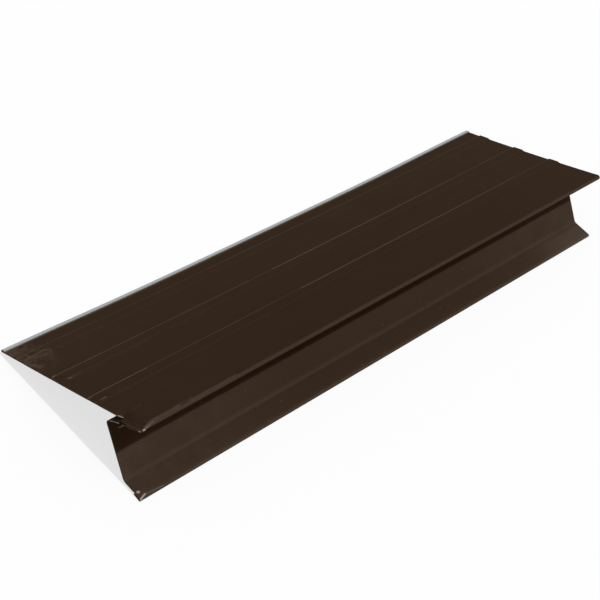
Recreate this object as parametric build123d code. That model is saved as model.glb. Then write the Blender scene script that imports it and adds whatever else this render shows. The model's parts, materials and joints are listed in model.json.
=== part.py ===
# A short length of roof edge trim, also called an overhanging drip edge.
# It is one strip of painted sheet, roll formed along its length into a section like a
# letter F: a ribbed flange that lies on the roof deck, a rounded nose that overhangs,
# a return under the nose, a leaning face, and a kicked-out lip that ends in a hem.
#
# The section is drawn the way the strip is rolled. A pencil follows the middle of the
# sheet from the free edge of the back hem to the free edge of the bottom hem, turning
# through one bend after another, and the sheet's two sides lie half a thickness away.
#
# Frame: millimetres, +X along the trim, +Y from the nose towards the roof, +Z up.
# The trim lies as it rests on a level floor, on its bottom hem and its back edge, and
# the origin is under the middle of its box, on the floor.

import os
from math import asin, atan, atan2, cos, degrees, hypot, radians, sin, tan

from build123d import *

# The strip
length = 305.0
sheet = 0.5

# The flange, from the nose to the back edge, and the hem folded up over its back edge
flange_depth = 84.0
back_hem_width = 2.4
back_hem_gap = 0.3

# The stiffening ribs rolled into the flange: flat-topped, steeper at the rear, and
# spaced forward from the back edge
rib_count = 3
rib_back_inset = 8.8
rib_pitch = 22.0
rib_width = 7.4
rib_height = 0.5
rib_rear_run = 1.1
rib_front_run = 1.8

# The nose, an open fold seen from the end, and the return that slopes back under it
nose_height = 2.4
return_slope = 9.0

# The corner at the top of the face, the crease and the lip, measured from the nose
corner_setback = 20.5
corner_radius = 1.4
face_lean = 17.3
crease_drop = 29.1
crease_radius = 2.5
lip_slope = 27.0
lip_length = 8.5

# The hem turned under the lip
bottom_hem_height = 1.7
bottom_hem_width = 4.0
bottom_hem_closing = 6.0


class Pencil:
    """Draws tangent lines and arcs one after another, in the section's plane."""

    def __init__(self, y, z, heading):
        self.point = (y, z)
        self.heading = heading
        self.pieces = []

    def straight(self, run):
        """Go forward by a distance."""
        turn = radians(self.heading)
        y, z = self.point
        end = (y + run * cos(turn), z + run * sin(turn))
        self.pieces.append(Line(self.point, end))
        self.point = end

    def bend(self, angle, radius):
        """Turn by an angle, to the left where it is positive, and give the bend's middle."""
        turn = radians(self.heading)
        tangent = (cos(turn), sin(turn))
        arc = JernArc(self.point, tangent, radius, angle)
        self.pieces.append(arc)
        self.point = (arc.position_at(1).X, arc.position_at(1).Y)
        self.heading += angle
        return arc.center_point.X, arc.center_point.Y

    def step(self, rise, run):
        """Shift sideways through two equal bends, to the left where rise is positive."""
        angle = 2 * degrees(atan(rise / run))
        radius = run / (2 * sin(radians(abs(angle))))
        self.bend(angle, radius)
        self.bend(-angle, radius)


def draw_back_hem(pencil):
    """The free edge on top, and the fold down round the back edge."""
    fold_radius = (back_hem_gap + sheet) / 2
    pencil.straight(back_hem_width - fold_radius - sheet / 2)
    return pencil.bend(-180, fold_radius)


def draw_flange(pencil):
    """The flange from the back edge to the nose, with its ribs."""
    crest = rib_width - rib_rear_run - rib_front_run
    for number in range(rib_count):
        rear_line = flange_depth - rib_back_inset - number * rib_pitch
        pencil.straight(pencil.point[0] - rear_line)
        pencil.step(-rib_height, rib_rear_run)
        pencil.straight(crest)
        pencil.step(rib_height, rib_front_run)
    pencil.straight(pencil.point[0] - nose_height / 2)


def draw_nose_and_return(pencil, corner_bend, corner_middle_radius):
    """The rounded nose, and the return as far as the corner's bend."""
    pencil.bend(180 - return_slope, (nose_height - sheet) / 2)
    to_corner = corner_setback - sheet / 2 - pencil.point[0]
    setback = corner_middle_radius * tan(radians(corner_bend) / 2)
    pencil.straight(to_corner / cos(radians(return_slope)) - setback)


def draw_face_and_lip(pencil, corner_bend, corner_middle_radius):
    """The corner, the leaning face, the crease and the kicked-out lip."""
    pencil.bend(-corner_bend, corner_middle_radius)
    crease_bend = 90 - face_lean - lip_slope
    crease_middle_radius = crease_radius - sheet / 2
    setback = crease_middle_radius * tan(radians(crease_bend) / 2)
    to_crease = crease_drop + pencil.point[1]
    pencil.straight(to_crease / cos(radians(face_lean)) - setback)
    pencil.bend(-crease_bend, crease_middle_radius)
    pencil.straight(lip_length)


def draw_bottom_hem(pencil):
    """The fold turned under the lip, closing a little towards its free edge."""
    fold = pencil.bend(180 + bottom_hem_closing, (bottom_hem_height - sheet) / 2)
    pencil.straight(bottom_hem_width - bottom_hem_height / 2)
    return fold


def draw_section():
    """The sheet's middle line as one smooth wire, and the middles of its two end folds."""
    pencil = Pencil(flange_depth - back_hem_width, back_hem_gap + sheet / 2, 0)
    corner_bend = 90 + face_lean - return_slope
    corner_middle_radius = corner_radius - sheet / 2
    back_fold = draw_back_hem(pencil)
    draw_flange(pencil)
    draw_nose_and_return(pencil, corner_bend, corner_middle_radius)
    draw_face_and_lip(pencil, corner_bend, corner_middle_radius)
    bottom_fold = draw_bottom_hem(pencil)
    return Wire(pencil.pieces), back_fold, bottom_fold


def resting_tilt(back_fold, bottom_fold):
    """The slope of the floor, in degrees, under a trim that lies on its two end folds."""
    back_radius = back_hem_gap / 2 + sheet
    bottom_radius = bottom_hem_height / 2
    across = back_fold[0] - bottom_fold[0]
    up = back_fold[1] - bottom_fold[1]
    between = hypot(across, up)
    return degrees(atan2(up, across) - asin((back_radius - bottom_radius) / between))


def roll_trim(middle_line, tilt):
    """The strip rolled out to its length, laid at its tilt on the floor."""
    level = extrude(Plane.YZ * trace(middle_line, sheet), length)
    laid = Rot(X=-tilt) * level
    box = laid.bounding_box()
    return Pos(-box.center().X, -box.center().Y, -box.min.Z) * laid


middle, back_fold_middle, bottom_fold_middle = draw_section()
resting_slope = resting_tilt(back_fold_middle, bottom_fold_middle)
trim = roll_trim(middle, resting_slope)

os.makedirs("parts", exist_ok=True)
export_step(trim, "parts/roof_edge_trim.step")
print("developed width", round(middle.length, 2), "mm")
print("resting slope", round(resting_slope, 3), "degrees")
print("box", trim.bounding_box().size)
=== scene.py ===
"""Rolls a short length of painted roof edge trim in Blender, and sets it out on a studio floor."""
import json
from math import atan, atan2, ceil, copysign, cos, pi, radians, sin, tan

import bmesh
import bpy
from bpy.props import FloatProperty, FloatVectorProperty, IntProperty, PointerProperty
from mathutils import Euler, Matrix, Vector


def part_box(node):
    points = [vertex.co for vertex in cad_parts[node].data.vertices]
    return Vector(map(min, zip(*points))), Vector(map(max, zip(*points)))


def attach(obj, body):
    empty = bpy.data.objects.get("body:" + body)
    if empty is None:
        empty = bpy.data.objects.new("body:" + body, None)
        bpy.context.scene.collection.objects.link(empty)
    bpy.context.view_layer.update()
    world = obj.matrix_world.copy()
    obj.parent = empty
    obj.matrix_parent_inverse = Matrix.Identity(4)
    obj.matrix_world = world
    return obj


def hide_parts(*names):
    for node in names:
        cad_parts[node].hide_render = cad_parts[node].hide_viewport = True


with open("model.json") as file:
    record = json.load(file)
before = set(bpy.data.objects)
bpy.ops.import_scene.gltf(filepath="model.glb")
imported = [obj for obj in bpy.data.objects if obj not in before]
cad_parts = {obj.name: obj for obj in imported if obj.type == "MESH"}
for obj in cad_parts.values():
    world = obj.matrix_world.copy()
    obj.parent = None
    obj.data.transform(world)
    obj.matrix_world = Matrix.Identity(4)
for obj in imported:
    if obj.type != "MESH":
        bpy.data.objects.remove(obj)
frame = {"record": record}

bl_info = {
    "name": "Roof edge trim",
    "version": (1, 0, 0),
    "blender": (4, 5, 0),
    "location": "View3D > Sidebar > Edge trim",
    "description": "Rolls a length of painted roof edge trim and sets it on a studio floor",
    "category": "Object",
}

MM = 0.001
TO_MM = 1000.0
NODE = "roof_edge_trim"
NODE_LOW, NODE_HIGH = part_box(NODE)
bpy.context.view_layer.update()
DECK_AXIS = Vector(next(m["axis"] for m in frame["record"]["mounts"] if m["name"] == "deck_face"))
PIECE = "rolled_trim"
PAINTED, BACK, CUT = range(3)

# The mesh's columns along the trim, which are finer near both ends
COLUMN = 4.0 * MM
FINE_CUTS = 7
FINE_COLUMN = COLUMN / (FINE_CUTS + 1)
FINE_REACH = 12.0 * MM
NEARLY = 0.05 * MM


def length_of(name, description, default):
    """A length that the user can change, in metres."""
    return FloatProperty(
        name=name, description=description, default=default, min=0.0, precision=5,
        unit="LENGTH", subtype="DISTANCE",
    )


def angle_of(name, description, default):
    """An angle that the user can change, given in degrees."""
    return FloatProperty(
        name=name, description=description, default=radians(default),
        unit="ROTATION", subtype="ANGLE",
    )


def amount_of(name, description, default, high=1.0):
    """A plain amount that the user can change."""
    return FloatProperty(
        name=name, description=description, default=default, min=0.0, max=high, precision=4
    )


def colour_of(name, description, default):
    """A colour that the user can change, as it is seen in plain light."""
    return FloatVectorProperty(
        name=name, description=description, default=default, min=0.0, max=1.0, size=3,
        precision=4, subtype="COLOR",
    )


class TrimSection(bpy.types.PropertyGroup):
    """The rolled section, as it is when the flange is level."""

    length: length_of("Length", "Length of the trim along its rolls", NODE_HIGH.x - NODE_LOW.x)
    sheet: length_of("Sheet", "Thickness of the painted sheet", 0.5 * MM)
    flange_depth: length_of("Flange depth", "From the nose to the back edge", 84.0 * MM)
    back_hem_width: length_of("Back hem width", "Hem folded up over the back edge", 2.3 * MM)
    back_hem_gap: length_of("Back hem gap", "Space between the back hem and the flange", 0.06 * MM)
    rib_count: IntProperty(
        name="Ribs", description="Number of stiffening ribs in the flange", default=3, min=0
    )
    rib_back_inset: length_of("Rib inset", "From the back edge to the rearmost rib", 8.8 * MM)
    rib_pitch: length_of("Rib pitch", "From one rib's rear line to the next", 22.0 * MM)
    rib_width: length_of("Rib width", "Width of a rib at its foot", 7.4 * MM)
    rib_height: length_of("Rib height", "Height of a rib above the flange", 0.5 * MM)
    rib_rear_run: length_of("Rib rear run", "Width of a rib's steeper rear slope", 1.1 * MM)
    rib_front_run: length_of("Rib front run", "Width of a rib's gentler front slope", 1.8 * MM)
    nose_height: length_of("Nose height", "Height of the rounded nose", 2.4 * MM)
    return_slope: angle_of("Return slope", "Slope of the return under the nose", 9.0)
    corner_setback: length_of(
        "Corner setback", "From the nose back to the corner of the face", 20.5 * MM
    )
    corner_radius: length_of(
        "Corner radius", "Outer radius of the corner at the top of the face", 1.4 * MM
    )
    face_lean: angle_of("Face lean", "Lean of the face, out towards its foot", 17.3)
    crease_drop: length_of("Crease drop", "From the flange down to the crease", 29.1 * MM)
    crease_radius: length_of("Crease radius", "Outer radius of the crease above the lip", 2.5 * MM)
    lip_slope: angle_of("Lip slope", "Slope of the kicked-out lip", 27.0)
    lip_length: length_of("Lip length", "Flat of the kicked-out lip", 8.5 * MM)
    bottom_hem_height: length_of("Bottom hem height", "Height of the hem's round fold", 1.7 * MM)
    bottom_hem_width: length_of(
        "Bottom hem width", "Width of the hem turned under the lip", 4.0 * MM
    )
    bottom_hem_closing: angle_of(
        "Bottom hem closing", "How far the hem closes towards the lip", 6.0
    )


class TrimHandling(bpy.types.PropertyGroup):
    """What the shears and the handling did to the sheet."""

    bow: length_of(
        "Bow", "How far the flange's back corners stand above the middle of the back edge",
        2.67 * MM,
    )
    slant: length_of("Slant", "How far the near end is out of square at the back edge", 0.5 * MM)
    rib_fade: length_of(
        "Rib fade", "How far in from the near end the ribs are pressed flat", 3.0 * MM
    )
    crush_reach: length_of(
        "Crush reach", "How far in from the near end the nose is crushed", 5.0 * MM
    )
    flange_tear: length_of("Flange tear", "From the nose back to the tear in the flange", 12.4 * MM)
    flange_tear_length: length_of(
        "Flange tear length", "Length of the tear in the flange", 2.6 * MM
    )
    burr_length: length_of("Burr length", "Length of the burr that bridges the tear", 1.8 * MM)
    return_tear: length_of("Return tear", "From the nose back to the tear in the return", 13.2 * MM)
    return_tear_length: length_of(
        "Return tear length", "Length of the tear in the return", 2.1 * MM
    )


class TrimFinish(bpy.types.PropertyGroup):
    """The colours and the finish of the sheet, with its painted highlights, glints, sheen and
    shade.
    """

    paint: colour_of("Paint", "Dark brown baked paint", (0.0289, 0.0160, 0.0087))
    # Painted shade: a deeper, redder paint under the nose, down to where the key lamp's shadow on
    # the face ends
    shadow_band_paint: colour_of(
        "Sheltered paint", "The paint under the nose, not yet faded", (0.0345, 0.0140, 0.0051)
    )
    # Painted highlight: this lighter paint on the folds, ribs and hem stands for light caught on
    # their curves
    highlight_paint: colour_of(
        "Rubbed paint", "The paint where its folds are rubbed", (0.085, 0.060, 0.044)
    )
    # Scuffs and specks, and painted highlights along the ribs' rear lines
    scuff_and_highlight_paint: colour_of(
        "Scuffed paint", "The paint in light scuffs and specks", (0.135, 0.105, 0.082)
    )
    # Bruised paint and bared metal at the torn end, and painted glints where its bent edges catch
    # the light
    worn_edge_and_glint: colour_of(
        "Worn edge", "Bruised paint and metal at the torn end", (0.36, 0.285, 0.24)
    )
    # Pale dust, also used as painted sheen and glow at the ends, on lit upright faces, by the back
    # hem and lip
    dust_and_sheen: colour_of("Dust", "Fine pale dust", (0.235, 0.183, 0.147))
    back_coat: colour_of(
        "Back coat", "Thin brown coat on the back of the sheet", (0.046, 0.029, 0.018)
    )
    margin_outer: colour_of(
        "Margin, outer", "Bare margin of the strip, at the outside of the back hem",
        (0.425, 0.46, 0.475),
    )
    margin_inner: colour_of(
        "Margin, inner", "Bare margin of the strip, beside its edge", (0.425, 0.43, 0.415)
    )
    margin_cut: colour_of("Margin, cut", "Slit edge of the bare margin", (0.20, 0.17, 0.135))
    bare_margin: length_of(
        "Bare margin", "Width of the strip's margin that the back coat doesn't reach", 4.2 * MM
    )
    # The pale film is partly dust and partly painted sheen, on the ends and on the lit upright
    # faces
    film: amount_of("Film", "How much dust film there is, most of it at the ends", 0.062)
    # The strength of the painted highlights on the folds
    rub: amount_of("Rub", "How strongly the folds are rubbed", 0.6)
    bare_edge: amount_of("Bare edge", "How much of the sheared edge shows metal", 0.12)


class TrimStage(bpy.types.PropertyGroup):
    """The floor, the light and the camera."""

    floor_size: length_of("Floor size", "Side of the square floor", 8.0)
    floor_colour: colour_of("Floor colour", "Plain pale floor", (0.97, 0.97, 0.97))
    floor_glow: amount_of(
        "Floor glow", "How much of the floor's shadow the camera doesn't see", 0.72
    )
    backdrop: amount_of(
        "Backdrop", "How pale the studio behind the floor looks, to the eye and in reflections",
        1.0,
    )
    sky_level: amount_of("Sky level", "Strength of the even light from all round", 0.26)
    sky_slope: amount_of("Sky slope", "How much brighter the bright side is than the middle", 0.1)
    sky_top: amount_of("Sky top", "How much brighter the air is overhead", 0.125, 4.0)
    sky_top_low: angle_of("Sky top low", "Elevation where the brighter air overhead begins", 30.0)
    sky_top_high: angle_of("Sky top high", "Elevation where the air overhead is brightest", 70.0)
    sky_side: FloatVectorProperty(
        name="Sky side", description="Where the brighter side of the air is",
        default=(-0.3, -0.95, 0.0), subtype="DIRECTION",
    )
    key_level: amount_of("Key level", "Share of the plain level that the key lamp gives", 0.73, 4.0)
    key_elevation: angle_of("Key elevation", "Height of the key lamp over the floor", 68.7)
    key_spread: angle_of("Key spread", "Width of the key lamp as the trim sees it", 2.0)
    lens: amount_of("Lens", "Focal length of the camera in millimetres", 92.97, 300.0)
    camera_place: FloatVectorProperty(
        name="Camera place", description="Where the camera stands",
        default=(-0.46300, -0.25448, 0.46129), precision=5, unit="LENGTH", subtype="TRANSLATION",
    )
    camera_turn: FloatVectorProperty(
        name="Camera turn", description="How the camera is turned",
        default=(radians(46.040), radians(-15.881), radians(-45.328)),
        unit="ROTATION", subtype="EULER",
    )


def deselect_all():
    """Leaves no object selected, the CAD nodes included."""
    bpy.ops.object.select_all(action="DESELECT")


def select_only(obj):
    """Makes an object the active one, and the only one selected."""
    deselect_all()
    obj.select_set(True)
    bpy.context.view_layer.objects.active = obj


def take_up(strip):
    """Selects only the trim, and opens its mesh."""
    select_only(strip)
    bpy.ops.object.mode_set(mode="EDIT")


def close_mesh():
    """Leaves the opened mesh."""
    bpy.ops.object.mode_set(mode="OBJECT")


def choose(strip, kind, test):
    """In edit mode, selects only the points, edges or faces in sight that pass a test."""
    kinds = ("VERT", "EDGE", "FACE")
    bpy.context.tool_settings.mesh_select_mode = [kind == other for other in kinds]
    bpy.ops.mesh.select_all(action="DESELECT")
    mesh = bmesh.from_edit_mesh(strip.data)
    found = 0
    for part in {"VERT": mesh.verts, "EDGE": mesh.edges, "FACE": mesh.faces}[kind]:
        if not part.hide and test(part):
            part.select_set(True)
            found += 1
    if not found:
        raise RuntimeError("nothing on the trim passes the test, so a size is out of range")
    bmesh.update_edit_mesh(strip.data)


class Rollers:
    """Rolls the sheet's middle surface on from its selected edge, one run or bend at a time."""

    reach = 3.0 * MM
    fine = 0.9 * MM
    finest = 0.3 * MM
    bend_step = radians(9.0)
    rounding = 0.001

    def __init__(self, strip, y, z, heading):
        self.strip = strip
        self.y, self.z, self.heading = y, z, heading
        self.girth = 0.0

    def note(self, run, rub):
        """Notes on the newest edge how far round the sheet it lies, and its painted highlight's
        strength.
        """
        self.girth += run
        mesh = bmesh.from_edit_mesh(self.strip.data)
        girth, painted_highlight = mesh.verts.layers.float["girth"], mesh.verts.layers.float["painted_highlight"]
        for point in mesh.verts:
            if point.select:
                point[girth], point[painted_highlight] = self.girth, rub
        bmesh.update_edit_mesh(self.strip.data)

    def straight(self, run, reach=reach, rub=0.0):
        """Goes forward in lengths of up to a reach, with a painted highlight growing towards its
        end.
        """
        count = max(1, ceil(run / reach - self.rounding))
        move = (0.0, run / count * cos(self.heading), run / count * sin(self.heading))
        for number in range(count):
            bpy.ops.mesh.extrude_region_move(TRANSFORM_OT_translate={"value": move})
            self.note(run / count, rub * (number + 1) / count)
        self.y += run * cos(self.heading)
        self.z += run * sin(self.heading)

    def straight_to(self, y, reach=reach):
        """Goes forward to a distance from the nose."""
        self.straight((y - self.y) / cos(self.heading), reach)

    def bend(self, angle, radius, rub=0.0, first_highlight=0.0):
        """Turns, to the left by a positive angle, with a painted highlight in the middle and from
        the start.
        """
        side = copysign(radius, angle)
        middle_y = self.y - side * sin(self.heading)
        middle_z = self.z + side * cos(self.heading)
        count = ceil(abs(angle) / self.bend_step - self.rounding)
        for number in range(count):
            bpy.ops.mesh.spin(
                steps=1, angle=-angle / count, center=(0.0, middle_y, middle_z),
                axis=(1.0, 0.0, 0.0),
            )
            share = (number + 1) / count
            painted_highlight = rub * sin(pi * share) + first_highlight * (1 - share)
            self.note(abs(angle) * radius / count, painted_highlight)
        self.heading += angle
        self.y = middle_y + side * sin(self.heading)
        self.z = middle_z - side * cos(self.heading)

    def step(self, rise, run, highlight_before=0.0, highlight_after=0.0):
        """Shifts sideways through two equal bends, to the left where rise is positive."""
        angle = 2 * atan(rise / run)
        radius = run / (2 * sin(abs(angle)))
        self.bend(angle, radius, highlight_before)
        self.bend(-angle, radius, highlight_after)


def runs_along(edge):
    """Whether an edge runs along the trim."""
    ends = edge.verts
    return abs(ends[0].co.x - ends[1].co.x) > abs(ends[0].co.y - ends[1].co.y)


def start_strip(section):
    """The flat leg of the back hem, with its columns closer together at both ends."""
    fold_radius = (section.back_hem_gap + section.sheet) / 2
    leg = section.back_hem_width - fold_radius - section.sheet / 2
    deselect_all()
    bpy.ops.mesh.primitive_grid_add(
        x_subdivisions=round(section.length / COLUMN), y_subdivisions=1, size=section.length
    )
    strip = bpy.context.object
    strip.name = strip.data.name = PIECE
    for name in ("girth", "painted_highlight"):
        strip.data.attributes.new(name, "FLOAT", "POINT")
    bpy.ops.object.mode_set(mode="EDIT")
    bpy.ops.transform.resize(
        value=(1.0, leg / section.length, 1.0), center_override=(0.0, 0.0, 0.0)
    )
    start = section.flange_depth - section.back_hem_width
    height = section.back_hem_gap + section.sheet / 2
    middle = start + leg / 2
    bpy.ops.transform.translate(value=(0.0, middle, height))
    end_zone = section.length / 2 - FINE_REACH
    choose(
        strip, "EDGE",
        lambda edge: all(abs(v.co.x) > end_zone for v in edge.verts) and runs_along(edge),
    )
    bpy.ops.mesh.subdivide(number_cuts=FINE_CUTS)
    choose(strip, "EDGE", lambda edge: all(v.co.y > middle for v in edge.verts))
    rollers = Rollers(strip, start + leg, height, 0.0)
    rollers.note(leg, 0.0)
    return rollers, fold_radius


def roll_flange(rollers, section, handling):
    """The flange from the back hem to the nose, with painted highlights along its ribs."""
    crest = section.rib_width - section.rib_rear_run - section.rib_front_run
    for number in range(section.rib_count):
        rear_line = section.flange_depth - section.rib_back_inset - number * section.rib_pitch
        rollers.straight_to(rear_line)
        # A strong painted highlight on each rib's rear crest, a faint one on its front slope
        rollers.step(-section.rib_height, section.rib_rear_run, highlight_after=1.9)
        rollers.straight(crest)
        rollers.step(section.rib_height, section.rib_front_run, highlight_before=0.12)
    burr_y = handling.flange_tear - handling.burr_length
    for y in (handling.flange_tear, burr_y, section.nose_height / 2):
        rollers.straight_to(y, rollers.fine)


def roll_nose_and_face(rollers, section, handling):
    """The nose, the return, the corner, the leaning face, the crease and the lip."""
    half = section.sheet / 2
    nose_middle = section.nose_height / 2 - half
    crown, brow = radians(18), radians(99)
    rollers.bend(crown, nose_middle)
    # A painted highlight over the nose's brow
    rollers.bend(brow, nose_middle, rub=0.68)
    rollers.bend(pi - section.return_slope - crown - brow, nose_middle)
    rollers.straight_to(handling.return_tear, rollers.fine)
    corner_bend = pi / 2 + section.face_lean - section.return_slope
    corner_middle = section.corner_radius - half
    setback = corner_middle * tan(corner_bend / 2) * cos(section.return_slope)
    rollers.straight_to(section.corner_setback - half - setback, rollers.fine)
    rollers.bend(-corner_bend, corner_middle)
    crease_bend = pi / 2 - section.face_lean - section.lip_slope
    crease_middle = section.crease_radius - half
    setback = crease_middle * tan(crease_bend / 2)
    to_crease = (section.crease_drop + rollers.z) / cos(section.face_lean) - setback
    # Painted highlights grow over the last stretch of the face and of the lip, into the crease and
    # the hem
    glint_and_wear = 1.2 * MM
    rollers.straight(to_crease - glint_and_wear)
    rollers.straight(glint_and_wear, rollers.finest, rub=0.32)
    rollers.bend(-crease_bend, crease_middle, rub=0.3, first_highlight=0.32)
    rollers.straight(section.lip_length - glint_and_wear, rollers.fine)
    rollers.straight(glint_and_wear, rollers.finest, rub=0.5)


def roll_bottom_hem(rollers, section):
    """The fold turned under the lip, and its free leg."""
    fold = section.bottom_hem_height / 2
    fold_middle = fold - section.sheet / 2
    in_sight = radians(70)
    # A painted highlight on the bottom hem's fold where it is in sight
    rollers.bend(in_sight, fold_middle, rub=0.6, first_highlight=0.5)
    rollers.bend(pi + section.bottom_hem_closing - in_sight, fold_middle)
    rollers.straight(section.bottom_hem_width - fold, reach=0.8 * MM)


def turn_paint_up(strip, section):
    """Makes the faces point out of the painted side, which is on top of the flange."""
    bpy.ops.mesh.select_all(action="SELECT")
    bpy.ops.mesh.normals_make_consistent(inside=False)
    mesh = bmesh.from_edit_mesh(strip.data)
    middle = Vector((0.0, section.flange_depth / 2, 0.0))
    nearest = min(mesh.faces, key=lambda face: (face.calc_center_median() - middle).length)
    if nearest.normal.z < 0:
        bpy.ops.mesh.flip_normals()


def apply_modifier(obj, kind, **values):
    """Adds a modifier with its values to an object and applies it."""
    select_only(obj)
    bpy.ops.object.modifier_add(type=kind)
    modifier = obj.modifiers[-1]
    for name, value in values.items():
        setattr(modifier, name, value)
    bpy.ops.object.modifier_apply(modifier=modifier.name)


def middle_of(part):
    """The middle of an edge or a face."""
    return sum((point.co for point in part.verts), Vector()) / len(part.verts)


def along(middle, near, far):
    """Whether a place lies between two distances from the near end."""
    return near < middle.x - NODE_LOW.x < far


def tear(strip, test):
    """Parts the sheet along the edges whose middles pass a test."""
    choose(strip, "EDGE", lambda edge: test(middle_of(edge), runs_along(edge)))
    bpy.ops.mesh.edge_split(type="EDGE")


# How an edit draws the sheet joined to the edited faces along
DRAWN_ALONG = {
    "use_proportional_edit": True, "use_proportional_connected": True,
    "proportional_edit_falloff": "SMOOTH",
}


def push(strip, test, move, reach):
    """Moves the faces whose middles pass a test, and draws the sheet joined to them along."""
    choose(strip, "FACE", lambda face: test(middle_of(face)))
    bpy.ops.transform.translate(value=move, proportional_size=reach, **DRAWN_ALONG)


def squeeze(strip, test, share, height, reach):
    """Flattens the faces whose middles pass a test to a share of their distance from a height."""
    choose(strip, "FACE", lambda face: test(middle_of(face)))
    bpy.ops.transform.resize(
        value=(1.0, 1.0, share), center_override=(0.0, 0.0, height), proportional_size=reach,
        **DRAWN_ALONG,
    )


def put_away(strip, test):
    """Hides the faces whose middles pass a test, so that they stay as they are."""
    choose(strip, "FACE", lambda face: test(middle_of(face)))
    bpy.ops.mesh.hide(unselected=False)


def press_ribs(strip, section, handling):
    """The shears press the ribs nearly flat at the near end."""
    flat = -section.sheet / 2
    risen = flat + 0.02 * MM
    behind_ribs = section.flange_depth - section.rib_back_inset
    squeeze(
        strip, lambda m: along(m, 0.0, FINE_COLUMN) and m.z > risen and m.y < behind_ribs,
        0.1, flat, handling.rib_fade,
    )


def crush_nose(strip, section, handling):
    """The shears tear the flange behind the nose, and crush the nose flat onto the return."""
    first, second = FINE_COLUMN, 2 * FINE_COLUMN
    tear_y, burr_y = handling.flange_tear, handling.flange_tear - handling.burr_length
    return_z = section.sheet / 2 - section.nose_height

    def on_tear(m, lengthwise):
        if m.z < -section.nose_height / 2:
            return False
        if not lengthwise:
            return burr_y < m.y < tear_y and along(m, first - NEARLY, first + NEARLY)
        if abs(m.y - burr_y) < NEARLY:
            return along(m, 0.0, first)
        return abs(m.y - tear_y) < NEARLY and along(m, first, handling.flange_tear_length)

    def at_end(m):
        if m.y < burr_y:
            return along(m, 0.0, first)
        return m.y < tear_y and along(m, first, second)

    tear(strip, on_tear)
    put_away(strip, lambda m: m.z < return_z)
    squeeze(strip, at_end, 0.3, return_z, handling.crush_reach)
    dragged, pressed = tear_y - 4.0 * MM, -0.5 * MM
    push(
        strip, lambda m: at_end(m) and m.y > dragged and m.z < pressed,
        (0.0, 0.0, -0.75 * MM), handling.crush_reach,
    )
    push(
        strip, lambda m: burr_y < m.y < tear_y and along(m, 0.0, first) and m.z > pressed,
        (0.25 * MM, 0.0, 0.25 * MM), 1.6 * MM,
    )
    bpy.ops.mesh.reveal(select=False)


# The bent edges of the return's tear, in millimetres: from and to, back from the tear, then
# how far each is lifted, and how far in the sheet bends
RETURN_BENDS = ((0.0, 3.5, 0.6, 2.4), (-1.3, 0.0, -1.2, 2.0), (-4.6, -2.6, 0.5, 1.8))


def tear_return(strip, section, handling):
    """The shears tear the return too, and part its edges."""
    tear_y = handling.return_tear
    face_y = section.corner_setback - section.corner_radius - section.sheet
    foot, head = -6.0 * MM, -2.3 * MM

    def on_return(m):
        return foot < m.z < head and m.y < face_y

    tear(strip, lambda m, lengthwise: on_return(m) and lengthwise
         and abs(m.y - tear_y) < NEARLY and along(m, 0.0, handling.return_tear_length))
    put_away(strip, lambda m: not on_return(m))
    for start, end, lift, reach in RETURN_BENDS:
        front, back = tear_y + start * MM, tear_y + end * MM
        push(
            strip, lambda m: front < m.y < back and along(m, 0.0, FINE_COLUMN),
            (0.0, 0.0, lift * MM), reach * MM,
        )
    bpy.ops.mesh.reveal(select=False)


# The dents in the lip, in millimetres: each one's middle, along from the near end, back from the
# nose and up from the flange, then its size, its lift and its reach
LIP_DENTS = (
    ((1.3, 6.5, -32.3), 0.6, 0.35, 1.4),
    ((0.3, 5.8, -32.6), 0.7, -0.45, 1.8),
)


def dent_lip(strip, section):
    """The free edge of the bottom hem is pressed into the lip at the near end."""
    up = Vector((0.0, -sin(section.lip_slope), cos(section.lip_slope)))
    crease_foot = -section.crease_drop - 1.4 * MM
    put_away(strip, lambda m: m.z > crease_foot)
    for middle, size, lift, reach in LIP_DENTS:
        place = Vector((NODE_LOW.x, 0.0, 0.0)) + MM * Vector(middle)
        push(strip, lambda m: (m - place).length < size * MM, lift * MM * up, reach * MM)
    bpy.ops.mesh.reveal(select=False)


def tilt_of_rest():
    """The angle from the level section down to the trim at rest."""
    return atan2(-DECK_AXIS.y, -DECK_AXIS.z)


def reach_of(obj):
    """The lowest and the highest corner of an object's mesh."""
    corners = [Vector(corner) for corner in obj.bound_box]
    return (
        Vector(min(corner[axis] for corner in corners) for axis in range(3)),
        Vector(max(corner[axis] for corner in corners) for axis in range(3)),
    )


def square_near_end(strip, slack=0.0):
    """Brings the points at or beyond the CAD box's near end into its plane."""
    limit = NODE_LOW.x + slack
    choose(strip, "VERT", lambda point: point.co.x <= limit)
    bpy.ops.transform.resize(value=(0.0, 1.0, 1.0), center_override=(NODE_LOW.x, 0.0, 0.0))


def lay_down(strip):
    """Tilts the level strip to its rest in the CAD node's box, and gives its nose's new place."""
    take_up(strip)
    bpy.ops.mesh.select_all(action="SELECT")
    bpy.ops.transform.rotate(value=tilt_of_rest(), orient_axis="X", center_override=(0.0, 0.0, 0.0))
    close_mesh()
    low, high = reach_of(strip)
    move = (NODE_LOW + NODE_HIGH) / 2 - (low + high) / 2
    move.x = 0.0
    move.z = NODE_HIGH.z - high.z
    bpy.ops.object.mode_set(mode="EDIT")
    bpy.ops.transform.translate(value=move)
    square_near_end(strip, slack=0.01 * MM)
    close_mesh()
    return move


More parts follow.
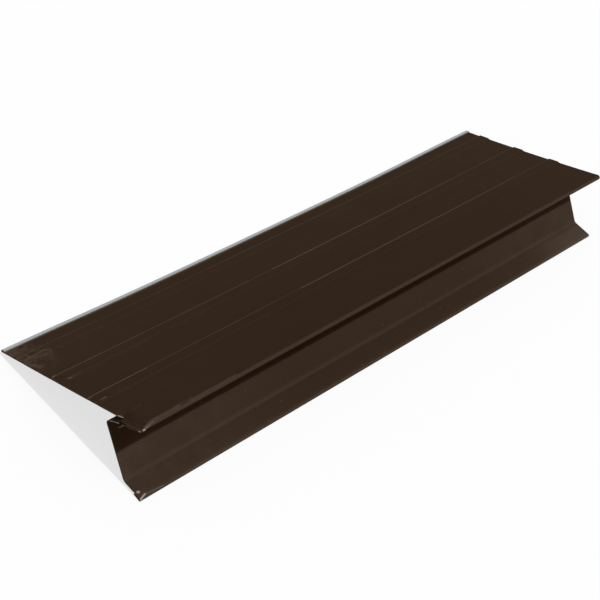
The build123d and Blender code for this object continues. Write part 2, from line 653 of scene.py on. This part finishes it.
def bow_flange(strip, nose, handling):
    """Lifts the flange's back corners with a lattice, and cuts the near one back."""
    lifts = (0.72, 0.10, 0.04, 0.28, 1.12)
    rows = 9
    curl = 1.5
    nose_share = (nose.y - NODE_LOW.y) / (NODE_HIGH.y - NODE_LOW.y)
    deselect_all()
    bpy.ops.object.add(type="LATTICE", location=(NODE_LOW + NODE_HIGH) / 2)
    cage = bpy.context.object
    cage.scale = NODE_HIGH - NODE_LOW
    cage.data.points_u, cage.data.points_v, cage.data.points_w = len(lifts), rows, 2
    cage.data.interpolation_type_u = cage.data.interpolation_type_v = "KEY_CATMULL_ROM"
    for point in cage.data.points:
        column = round((point.co.x + 0.5) * (len(lifts) - 1))
        behind_nose = max(0.0, (point.co.y + 0.5 - nose_share) / (1.0 - nose_share))
        lift = lifts[column] * behind_nose ** curl * handling.bow
        point.co_deform.z += lift / cage.scale.z
        if column == 0:
            point.co_deform.x += behind_nose * handling.slant / cage.scale.x
    apply_modifier(strip, "LATTICE", object=cage)
    bpy.data.objects.remove(cage)
    take_up(strip)
    square_near_end(strip)
    close_mesh()


def plain_material(name):
    """A new material, with its tree and its Principled BSDF."""
    material = bpy.data.materials.new(name)
    material.use_nodes = True
    return material, material.node_tree, material.node_tree.nodes["Principled BSDF"]


def feed(tree, node, inputs):
    """Feeds a node's inputs from sockets or constants."""
    for name, source in dict(inputs).items():
        if isinstance(source, bpy.types.NodeSocket):
            tree.links.new(source, node.inputs[name])
        else:
            node.inputs[name].default_value = source


def add_node(tree, kind, inputs=(), **values):
    """Adds a node to a tree, sets its values and feeds its inputs."""
    node = tree.nodes.new(kind)
    for name, value in values.items():
        setattr(node, name, value)
    feed(tree, node, inputs)
    return node


def calculate(tree, operation, *values, **options):
    """The result of a Math node."""
    inputs = dict(enumerate(values))
    return add_node(tree, "ShaderNodeMath", inputs, operation=operation, **options).outputs[0]


def times(tree, first, second):
    """The product of two values."""
    return calculate(tree, "MULTIPLY", first, second)


def plus(tree, first, second):
    """The sum of two values."""
    return calculate(tree, "ADD", first, second)


def swing(tree, value, reach, middle=0.0):
    """A pattern's value, swung by a reach to both sides of a middle."""
    return calculate(tree, "MULTIPLY_ADD", value, 2 * reach, middle - reach)


def fade(tree, value, low, high, to_low=0.0, to_high=1.0):
    """A value faded smoothly from one level to another."""
    inputs = {
        "Value": value, "From Min": low, "From Max": high, "To Min": to_low, "To Max": to_high
    }
    node = add_node(tree, "ShaderNodeMapRange", inputs, interpolation_type="SMOOTHSTEP")
    return node.outputs["Result"]


def fade_out(tree, value, low, high):
    """A share that is whole below a range and fades to nothing above it."""
    return fade(tree, value, low, high, 1.0, 0.0)


def solid(colour):
    """A colour with nothing see-through, or the socket that gives it."""
    return colour if isinstance(colour, bpy.types.NodeSocket) else (*colour, 1.0)


def blend(tree, share, under, over):
    """One colour laid over another by a share."""
    inputs = {0: share, 6: solid(under), 7: solid(over)}
    return add_node(tree, "ShaderNodeMix", inputs, data_type="RGBA").outputs[2]


def split(tree, vector):
    """The three parts of a vector or a colour."""
    return add_node(tree, "ShaderNodeSeparateXYZ", {0: vector}).outputs


def scaled(tree, vector, share):
    """A vector or a colour times a share."""
    inputs = {0: vector, "Scale": share}
    return add_node(tree, "ShaderNodeVectorMath", inputs, operation="SCALE").outputs[0]


def noise(tree, place, scale, detail=2.0, rough=0.5):
    """The value of a Noise texture."""
    inputs = {"Vector": place, "Scale": scale, "Detail": detail, "Roughness": rough}
    return add_node(tree, "ShaderNodeTexNoise", inputs).outputs["Fac"]


def bumped(tree, height, strength):
    """A normal with a fine relief."""
    inputs = {"Height": height, "Strength": strength, "Distance": 0.2 * MM}
    return add_node(tree, "ShaderNodeBump", inputs).outputs[0]


def new_group(name, inputs, outputs):
    """A shader node group with its sockets, its input node and its output node."""
    group = bpy.data.node_groups.new(name, "ShaderNodeTree")
    kinds = {"Vector": "NodeSocketVector", "Value": "NodeSocketFloat"}
    for side, sockets in (("INPUT", inputs), ("OUTPUT", outputs)):
        for socket, kind in sockets.items():
            group.interface.new_socket(socket, in_out=side, socket_type=kinds[kind])
    return group, group.nodes.new("NodeGroupInput"), group.nodes.new("NodeGroupOutput")


def use_group(tree, group, inputs=()):
    """The outputs of a node group placed in a tree, with its inputs fed."""
    return add_node(tree, "ShaderNodeGroup", inputs, node_tree=group).outputs


def seen_rays(tree):
    """Whether a ray shows its end to the eye: straight, in a reflection or through glass."""
    ray = add_node(tree, "ShaderNodeLightPath").outputs
    seen = plus(tree, ray["Is Camera Ray"], ray["Is Glossy Ray"])
    return calculate(tree, "ADD", seen, ray["Is Transmission Ray"], use_clamp=True)


def floor_material(stage):
    """A pale floor, whose shadows are light to the camera and in reflections."""
    material, tree, shader = plain_material("pale_floor")
    looks = {"Base Color": solid(stage.floor_colour), "Roughness": 1.0, "Specular IOR Level": 0.0}
    feed(tree, shader, looks)
    share = times(tree, seen_rays(tree), stage.floor_glow)
    white = add_node(tree, "ShaderNodeEmission", {"Strength": 1.0})
    inputs = {0: share, 1: shader.outputs[0], 2: white.outputs[0]}
    mixed = add_node(tree, "ShaderNodeMixShader", inputs).outputs[0]
    feed(tree, tree.nodes["Material Output"], {"Surface": mixed})
    return material


def studio_air(stage):
    """A pale backdrop, and even light from all round, brighter overhead and before the face."""
    world = bpy.data.worlds.new("studio_air")
    world.use_nodes = True
    tree = world.node_tree
    direction = add_node(tree, "ShaderNodeTexCoord").outputs["Generated"]
    inputs = {0: direction, 1: stage.sky_side}
    towards = add_node(tree, "ShaderNodeVectorMath", inputs, operation="DOT_PRODUCT")
    side = calculate(
        tree, "MULTIPLY_ADD", towards.outputs["Value"], stage.sky_slope, stage.sky_level
    )
    height = split(tree, direction)["Z"]
    low, high = sin(stage.sky_top_low), sin(stage.sky_top_high)
    level = plus(tree, side, fade(tree, height, low, high, 0.0, stage.sky_top))
    shown = add_node(tree, "ShaderNodeMix", {0: seen_rays(tree), 2: level, 3: stage.backdrop})
    white = (1.0, 1.0, 1.0, 1.0)
    feed(tree, tree.nodes["Background"], {"Color": white, "Strength": shown.outputs[0]})
    return world


def place_group(nose):
    """A place on the trim, in millimetres from its near end, nose and flange, as if level."""
    group, _, result = new_group(
        "trim_place", {}, {"Place": "Vector", "Top": "Vector", "Girth": "Value"}
    )
    tilt = tilt_of_rest()
    start = Euler((tilt, 0.0, 0.0)).to_matrix() @ Vector((NODE_LOW.x, nose.y, nose.z))
    level = add_node(group, "ShaderNodeMapping", {
        "Vector": add_node(group, "ShaderNodeTexCoord").outputs["Object"],
        "Location": -TO_MM * start, "Rotation": (tilt, 0.0, 0.0), "Scale": (TO_MM, TO_MM, TO_MM),
    }).outputs[0]
    x, y, _ = split(group, level)
    top = add_node(group, "ShaderNodeCombineXYZ", {0: x, 1: y}).outputs[0]
    girth = add_node(group, "ShaderNodeAttribute", attribute_name="girth").outputs["Fac"]
    feed(group, result, {"Place": level, "Top": top, "Girth": times(group, girth, TO_MM)})
    return group


def stroke_group():
    """The mask of one scuff, scratch, painted highlight or glint, from a start to an end, ragged at
    its edges.
    """
    group, source, result = new_group(
        "stroke_mark",
        {"Place": "Vector", "Start": "Vector", "End": "Vector", "Width": "Value",
         "Ragged": "Value"},
        {"Mask": "Value"},
    )
    place, start, end, width, ragged = source.outputs[:5]

    def vector(operation, *values, output=0):
        inputs = dict(enumerate(values))
        node = add_node(group, "ShaderNodeVectorMath", inputs, operation=operation)
        return node.outputs[output]

    run = vector("SUBTRACT", end, start)
    arm = vector("SUBTRACT", place, start)
    whole = calculate(group, "MAXIMUM", vector("DOT_PRODUCT", run, run, output="Value"), 0.0001)
    covered = vector("DOT_PRODUCT", arm, run, output="Value")
    share = calculate(group, "DIVIDE", covered, whole, use_clamp=True)
    foot = scaled(group, run, share)
    distance = vector("LENGTH", vector("SUBTRACT", arm, foot), output="Value")
    torn = times(group, noise(group, place, scale=1.6, detail=3.0), ragged)
    solid_share = 0.3
    mask = fade_out(group, plus(group, distance, torn), times(group, width, solid_share), width)
    feed(group, result, {"Mask": mask})
    return group


def film_group():
    """What rollers, hands and dust leave: marks along a coat, mottle, specks, and a film, partly
    painted sheen.
    """
    group, source, result = new_group(
        "handled_film_and_sheen", {"Place": "Vector", "Girth": "Value"},
        {"Marks": "Value", "Mottle": "Value", "Film": "Value", "Specks": "Value",
         "Grain": "Value"},
    )
    place, girth = source.outputs["Place"], source.outputs["Girth"]
    x = split(group, place)[0]
    drawn_out = 0.012
    inputs = {0: times(group, x, drawn_out), 1: girth}
    drawn = add_node(group, "ShaderNodeCombineXYZ", inputs).outputs[0]
    half_length = TO_MM * (NODE_HIGH.x - NODE_LOW.x) / 2
    from_middle = calculate(group, "ABSOLUTE", calculate(group, "SUBTRACT", x, half_length))
    clouds = noise(group, place, scale=0.12, detail=4.0, rough=0.6)
    at_ends = fade(group, from_middle, 45.0, 150.0)
    cloudy = fade(group, clouds, 0.35, 0.7, 0.5, 1.0)
    inputs = {"Vector": place, "Scale": 0.42, "Randomness": 1.0}
    dots = add_node(group, "ShaderNodeTexVoronoi", inputs).outputs
    chance = split(group, dots["Color"])[0]
    small, kept = fade_out(group, dots["Distance"], 0.06, 0.13), fade(group, chance, 0.72, 0.96)
    feed(group, result, {
        "Marks": noise(group, drawn, scale=1.7, detail=4.0, rough=0.65),
        "Mottle": noise(group, place, scale=0.045, detail=3.0, rough=0.55),
        "Film": times(group, at_ends, cloudy),
        "Specks": times(group, small, kept),
        "Grain": noise(group, place, scale=2.6, detail=2.0, rough=0.6),
    })
    return group


# Each stroke: its start and its end in millimetres, along from the near end and back from the
# nose, then its width, how ragged its edges are, and its strength
FLANGE_SCUFFS_AND_RIB_HIGHLIGHTS = (
    ((2.2, 70.0), (12.5, 70.5), 0.75, 0.5, 0.5),
    ((12.0, 70.6), (14.2, 69.4), 0.6, 0.3, 0.45),
    ((14.2, 69.4), (13.4, 68.0), 0.6, 0.4, 0.25),
    ((10.8, 71.8), (12.6, 69.2), 0.6, 0.3, 0.25),
    ((0.5, 78.0), (5.0, 80.0), 5.0, 3.4, 0.26),
    ((0.5, 73.0), (9.0, 73.6), 1.8, 1.2, 0.14),
    ((1.0, 67.0), (3.5, 62.0), 2.8, 2.0, 0.26),
    ((9.5, 68.6), (12.5, 67.0), 2.2, 1.6, 0.14),
    # Here and below, the long strokes near 52.2, 30.25 and 74.25 back from the nose are painted
    # highlights on the ribs' rear lines
    ((1.6, 52.4), (8.0, 52.3), 0.75, 0.2, 1.0),
    ((8.0, 52.22), (26.0, 52.22), 0.75, 0.25, 0.85),
    ((26.0, 52.22), (46.0, 52.22), 0.62, 0.25, 0.6),
    ((4.6, 46.7), (6.0, 46.5), 0.6, 0.2, 0.5),
    ((6.0, 46.8), (11.0, 46.8), 0.5, 0.4, 0.22),
    ((0.8, 30.3), (30.0, 30.25), 0.7, 0.25, 0.7),
    ((2.9, 25.7), (5.3, 25.5), 0.6, 0.2, 0.6),
    ((6.5, 11.8), (11.0, 12.4), 0.7, 0.5, 0.16),
    # Scuffs over the nose near the near end, which merge with its painted highlight
    ((2.5, 0.6), (9.0, 1.0), 1.25, 0.6, 0.34),
    ((9.0, 1.0), (20.0, 0.9), 1.25, 0.8, 0.32),
    ((18.0, 1.7), (27.0, 1.2), 0.9, 0.7, 0.24),
    ((25.0, 0.7), (50.0, 0.7), 0.95, 0.7, 0.2),
    # Painted highlights along the ribs' rear lines, further along the trim
    ((46.0, 52.22), (110.0, 52.22), 0.5, 0.25, 0.3),
    ((125.0, 52.22), (294.0, 52.22), 0.62, 0.25, 0.6),
    ((30.0, 30.25), (104.0, 30.25), 0.42, 0.25, 0.2),
    ((120.0, 30.22), (275.0, 30.22), 0.62, 0.25, 0.55),
    ((110.0, 74.25), (285.0, 74.25), 0.45, 0.25, 0.2),
)

# The same for the torn near end, where each start and end also has its height over the flange
# These are bruised paint and bared metal, and painted glints on the burr, the crushed nose, the
# torn return, the lip's dent and the hem's end
END_WEAR_AND_GLINTS = (
    ((0.0, 13.4, 0.2), (0.4, 10.6, -0.3), 0.7, 0.1, 1.0),
    ((0.0, 1.2, -2.2), (1.6, 0.0, -1.7), 0.75, 0.2, 1.0),
    ((1.6, 0.2, -1.5), (6.0, 0.4, -0.6), 0.6, 0.4, 0.35),
    ((0.0, 12.0, -2.4), (0.0, 1.4, -1.6), 0.3, 0.2, 0.16),
    ((0.0, 17.6, -4.2), (0.2, 13.2, -3.5), 0.5, 0.1, 0.5),
    ((0.0, 13.2, -5.2), (0.2, 9.9, -3.1), 0.4, 0.2, 0.35),
    ((0.0, 11.9, -28.6), (0.2, 11.9, -28.7), 0.5, 0.1, 1.0),
    ((1.1, 6.4, -31.8), (1.4, 6.3, -31.9), 0.9, 0.2, 1.0),
    ((0.2, 4.1, -33.7), (3.0, 4.7, -33.0), 0.7, 0.2, 1.0),
    ((3.0, 4.7, -33.0), (12.0, 4.0, -33.4), 0.5, 0.3, 0.2),
)

# Where the paint changes, in millimetres: round the sheet from its back edge, or as above
NOSE_GIRTH = (86.8, 87.45)
# The band under the nose given painted shade, from the corner down to the key lamp's shadow edge
SHADOW_BAND_HEAD = (-5.0, -3.2)
SHADOW_BAND_FOOT = (-19.0, -16.0)
FLANGE_BACK = (5.0, 80.0)
CORNER_ALONG = (5.0, 19.0)
CORNER_BACK = (55.0, 68.0)
# Where dust and painted glow lie beside the back hem, and painted sheen at the lip's far end
HEM_BACK = (79.6, 81.8)
LIP_END = (255.0, 300.0)
LIP_HEAD = (-30.4, -29.0)


def strokes_mask(tree, stroke, place, strokes):
    """The strongest of a list of strokes at a place."""
    mask = None
    for start, end, width, ragged, strength in strokes:
        inputs = {
            "Place": place, "Start": Vector(start).to_3d(), "End": Vector(end).to_3d(),
            "Width": width, "Ragged": ragged,
        }
        one = times(tree, use_group(tree, stroke, inputs)["Mask"], strength)
        mask = one if mask is None else calculate(tree, "MAXIMUM", mask, one)
    return mask


def coat_patterns(tree, groups):
    """The outputs of the groups that give a coat its place and its film."""
    where = use_group(tree, groups["place"])
    inputs = {"Place": where["Place"], "Girth": where["Girth"]}
    return where, use_group(tree, groups["film"], inputs)


def dust_and_sheen_film(tree, finish, film, on_top, outside_shadow_band):
    """The share of the pale film, dust and painted sheen: thin on the flange, only at the ends
    under the nose.
    """
    flange_share, face_share = 0.38, 0.6
    ends = calculate(tree, "MULTIPLY_ADD", on_top, flange_share - 1.0, 1.0)
    upright = calculate(tree, "MULTIPLY_ADD", on_top, -face_share, face_share)
    # Painted sheen: outside the painted shade under the nose, the upright faces get the film all
    # along
    lit_sheen = times(tree, outside_shadow_band, upright)
    dust_and_sheen_share = calculate(tree, "MULTIPLY_ADD", film["Film"], ends, lit_sheen)
    return times(tree, dust_and_sheen_share, finish.film)


def dust_glow_and_sheen_patches(tree, place, on_top):
    """The share of dust in the near back corner, dust and painted glow by the back hem, painted
    sheen at the lip's end.
    """
    x, y, z = split(tree, place)
    cloudy = noise(tree, place, scale=0.35, detail=5.0, rough=0.65)
    corner = times(tree, fade_out(tree, x, *CORNER_ALONG), fade(tree, y, *CORNER_BACK))
    corner = times(tree, corner, fade(tree, cloudy, 0.38, 0.65, 0.0, 0.14))
    # Dust and painted glow beside the back hem, and painted sheen on the lip's far end
    dust_and_glow_beside_hem = fade(tree, y, *HEM_BACK, 0.0, 0.10)
    sheen_at_lip_end = times(tree, fade(tree, x, *LIP_END, 0.0, 0.10), fade_out(tree, z, *LIP_HEAD))
    return plus(tree, times(tree, plus(tree, corner, dust_and_glow_beside_hem), on_top), sheen_at_lip_end)


def paint_scuffs_and_rib_highlights(tree, groups, where, film, on_top):
    """The share of the scuffs and painted rib highlights on the flange, and of the specks, fainter
    there.
    """
    scuffs_and_highlights = strokes_mask(tree, groups["stroke"], where["Top"], FLANGE_SCUFFS_AND_RIB_HIGHLIGHTS)
    speck_share = calculate(tree, "MULTIPLY_ADD", on_top, -0.45, 0.8)
    specks = times(tree, film["Specks"], speck_share)
    return calculate(tree, "MAXIMUM", times(tree, scuffs_and_highlights, on_top), specks)


def paint_material(finish, groups):
    """The dark brown baked paint, with painted highlights, sheen, glints and shade, scuffed at its
    near end.
    """
    material, tree, shader = plain_material("baked_brown_paint")
    where, film = coat_patterns(tree, groups)
    place = where["Place"]
    _, y, z = split(tree, place)
    on_top = fade_out(tree, where["Girth"], *NOSE_GIRTH)
    # Painted shade: between these heights under the nose the paint is deeper and redder, and gets
    # the pale film only at the ends
    below, above = fade_out(tree, z, *SHADOW_BAND_FOOT), fade(tree, z, *SHADOW_BAND_HEAD)
    outside_shadow_band = calculate(tree, "MAXIMUM", below, above)
    level = plus(tree, swing(tree, film["Mottle"], 0.11, 1.0), swing(tree, film["Grain"], 0.06))
    level = plus(tree, level, swing(tree, film["Marks"], 0.06))
    # Painted light: the flange is painted lighter towards its back edge
    level = plus(tree, level, times(tree, on_top, fade(tree, y, *FLANGE_BACK, 0.03, 0.18)))
    colour = blend(tree, outside_shadow_band, finish.shadow_band_paint, finish.paint)
    colour = scaled(tree, colour, level)
    # Dust and painted sheen from the pale film, thin on the flange
    colour = blend(tree, dust_and_sheen_film(tree, finish, film, on_top, outside_shadow_band), colour, finish.dust_and_sheen)
    # Painted highlight on the folds, ribs and hem, from the rolled attribute, and a little less
    # rough there
    painted_highlight = add_node(tree, "ShaderNodeAttribute", attribute_name="painted_highlight").outputs["Fac"]
    streaks = fade(tree, film["Marks"], 0.3, 0.7, 0.55, 1.0)
    rub = times(tree, times(tree, painted_highlight, streaks), finish.rub)
    colour = blend(tree, rub, colour, finish.highlight_paint)
    # Dust in the near back corner, dust and painted glow beside the back hem, painted sheen at the
    # lip's far end
    colour = blend(tree, dust_glow_and_sheen_patches(tree, place, on_top), colour, finish.dust_and_sheen)
    # Scuffs and specks, and painted highlights along the ribs' rear lines
    scuffs_and_highlights = paint_scuffs_and_rib_highlights(tree, groups, where, film, on_top)
    colour = blend(tree, scuffs_and_highlights, colour, finish.scuff_and_highlight_paint)
    # Bruised paint, bared metal and painted glints at the torn near end
    glint_and_wear = strokes_mask(tree, groups["stroke"], place, END_WEAR_AND_GLINTS)
    rough = plus(tree, swing(tree, film["Marks"], 0.06, 0.65), times(tree, film["Film"], 0.06))
    skin = plus(tree, noise(tree, place, scale=1.3), times(tree, film["Marks"], 0.7))
    feed(tree, shader, {
        "Base Color": blend(tree, glint_and_wear, colour, finish.worn_edge_and_glint),
        "Roughness": calculate(tree, "SUBTRACT", rough, times(tree, rub, 0.10)),
        "Specular IOR Level": 0.014,
        "Normal": bumped(tree, skin, 0.05),
    })
    return material


def back_material(finish, groups):
    """The thin back coat, which stops short of the strip's edge and leaves its margin bare."""
    material, tree, shader = plain_material("thin_back_coat")
    where, film = coat_patterns(tree, groups)
    girth = where["Girth"]
    coat = scaled(tree, tuple(finish.back_coat), swing(tree, film["Marks"], 0.25, 1.0))
    coat = blend(tree, times(tree, film["Specks"], 0.2), coat, finish.dust_and_sheen)
    margin = blend(tree, fade(tree, girth, 0.0, 0.9), finish.margin_inner, finish.margin_outer)
    margin = scaled(tree, margin, swing(tree, film["Marks"], 0.08, 1.0))
    ragged = calculate(tree, "MULTIPLY_ADD", film["Mottle"], 0.8, girth)
    coat_edge = TO_MM * finish.bare_margin
    bare = fade_out(tree, ragged, coat_edge, coat_edge + 0.5)
    feed(tree, shader, {
        "Base Color": blend(tree, bare, coat, margin),
        "Roughness": calculate(tree, "MULTIPLY_ADD", bare, -0.1, 0.65),
        "Specular IOR Level": 0.04,
        "Normal": bumped(tree, film["Marks"], 0.06),
    })
    return material


def cut_material(finish, groups):
    """The sheared edge, where the shears dragged paint over the metal and left some bare."""
    material, tree, shader = plain_material("sheared_edge")
    where = use_group(tree, groups["place"])
    # Bruised paint, bared metal and painted glints on the torn end's cut edges
    glint_and_wear = strokes_mask(tree, groups["stroke"], where["Place"], END_WEAR_AND_GLINTS)
    dragged = noise(tree, where["Place"], scale=0.8, detail=4.0, rough=0.6)
    dragged = fade(tree, dragged, 0.45, 0.75, 0.0, finish.bare_edge)
    bare = calculate(tree, "MAXIMUM", glint_and_wear, dragged)
    colour = blend(tree, bare, finish.back_coat, finish.worn_edge_and_glint)
    at_margin = fade_out(tree, where["Girth"], 0.1, 0.3)
    feed(tree, shader, {
        "Base Color": blend(tree, at_margin, colour, finish.margin_cut),
        "Roughness": calculate(tree, "MULTIPLY_ADD", bare, -0.1, 0.65),
        "Specular IOR Level": 0.03,
    })
    return material


def the_strip():
    """The rolled trim, for the steps after the rolling."""
    strip = bpy.data.objects.get(PIECE)
    if strip is None:
        raise RuntimeError("roll the trim first")
    return strip


class TRIM_OT_roll(bpy.types.Operator):
    """Roll the strip's middle surface, level, from its back hem to its bottom hem."""

    bl_idname = "trim.roll"
    bl_label = "Roll the trim"

    def execute(self, context):
        section, handling = context.scene.trim_section, context.scene.trim_handling
        rollers, fold_radius = start_strip(section)
        rollers.bend(-pi, fold_radius)
        roll_flange(rollers, section, handling)
        roll_nose_and_face(rollers, section, handling)
        roll_bottom_hem(rollers, section)
        turn_paint_up(rollers.strip, section)
        close_mesh()
        return {"FINISHED"}


class TRIM_OT_shear(bpy.types.Operator):
    """Press, tear and dent the near end, as the shears and the handling did."""

    bl_idname = "trim.shear"
    bl_label = "Shear the near end"

    def execute(self, context):
        section, handling = context.scene.trim_section, context.scene.trim_handling
        strip = the_strip()
        take_up(strip)
        press_ribs(strip, section, handling)
        crush_nose(strip, section, handling)
        tear_return(strip, section, handling)
        dent_lip(strip, section)
        close_mesh()
        return {"FINISHED"}


class TRIM_OT_finish(bpy.types.Operator):
    """Give the sheet its thickness, lay it down, bow its flange a little and coat it."""

    bl_idname = "trim.finish"
    bl_label = "Finish the trim"

    def execute(self, context):
        finish = context.scene.trim_finish
        strip = the_strip()
        for _ in (PAINTED, BACK, CUT):
            strip.data.materials.append(None)
        apply_modifier(
            strip, "SOLIDIFY", thickness=context.scene.trim_section.sheet, offset=0.0,
            use_even_offset=True, material_offset=BACK, material_offset_rim=CUT,
        )
        nose = lay_down(strip)
        bow_flange(strip, nose, context.scene.trim_handling)
        bpy.ops.object.shade_smooth_by_angle(angle=radians(35))
        apply_modifier(strip, "WEIGHTED_NORMAL", keep_sharp=True)
        groups = {"place": place_group(nose), "stroke": stroke_group(), "film": film_group()}
        strip.data.materials[PAINTED] = paint_material(finish, groups)
        strip.data.materials[BACK] = back_material(finish, groups)
        strip.data.materials[CUT] = cut_material(finish, groups)
        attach(strip, "root")
        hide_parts(NODE)
        return {"FINISHED"}


class TRIM_OT_stage(bpy.types.Operator):
    """Lay the floor, hang the key lamp, light the air and stand the camera."""

    bl_idname = "trim.stage"
    bl_label = "Set the stage"

    def execute(self, context):
        stage = context.scene.trim_stage
        deselect_all()
        bpy.ops.mesh.primitive_plane_add(size=stage.floor_size)
        floor = context.object
        floor.name = "studio_floor"
        floor.data.materials.append(floor_material(stage))
        deselect_all()
        bpy.ops.object.light_add(type="SUN", rotation=(pi / 2 - stage.key_elevation, 0.0, 0.0))
        key = context.object
        key.name = "key_lamp"
        # A sun of strength pi lights a white floor to white
        key.data.energy = stage.key_level * pi
        key.data.angle = stage.key_spread
        context.scene.world = studio_air(stage)
        bpy.ops.object.camera_add(location=stage.camera_place, rotation=stage.camera_turn)
        camera = context.object
        camera.data.lens = stage.lens
        context.scene.camera = camera
        context.scene.view_settings.view_transform = "Standard"
        return {"FINISHED"}


class TRIM_PT_panel(bpy.types.Panel):
    """The trim's steps and sizes in the sidebar."""

    bl_idname = "TRIM_PT_panel"
    bl_label = "Roof edge trim"
    bl_space_type = "VIEW_3D"
    bl_region_type = "UI"
    bl_category = "Edge trim"

    def draw(self, context):
        scene = context.scene
        for group in (scene.trim_section, scene.trim_handling, scene.trim_finish):
            box = self.layout.box()
            for name in group.__annotations__:
                box.prop(group, name)
        for step in ("trim.roll", "trim.shear", "trim.finish"):
            self.layout.operator(step)
        box = self.layout.box()
        for name in scene.trim_stage.__annotations__:
            box.prop(scene.trim_stage, name)
        self.layout.operator("trim.stage")


GROUPS = {
    "trim_section": TrimSection, "trim_handling": TrimHandling, "trim_finish": TrimFinish,
    "trim_stage": TrimStage,
}
CLASSES = (
    *GROUPS.values(), TRIM_OT_roll, TRIM_OT_shear, TRIM_OT_finish, TRIM_OT_stage, TRIM_PT_panel
)


def register():
    """Adds the trim's steps and sizes to the program."""
    for cls in CLASSES:
        bpy.utils.register_class(cls)
    for name, group in GROUPS.items():
        setattr(bpy.types.Scene, name, PointerProperty(type=group))


def unregister():
    """Takes them out again."""
    for name in GROUPS:
        delattr(bpy.types.Scene, name)
    for cls in reversed(CLASSES):
        bpy.utils.unregister_class(cls)


def main():
    """Sets the stage and makes the trim on it."""
    register()
    bpy.ops.trim.stage()
    bpy.ops.trim.roll()
    bpy.ops.trim.shear()
    bpy.ops.trim.finish()


if __name__ == "__main__":
    main()
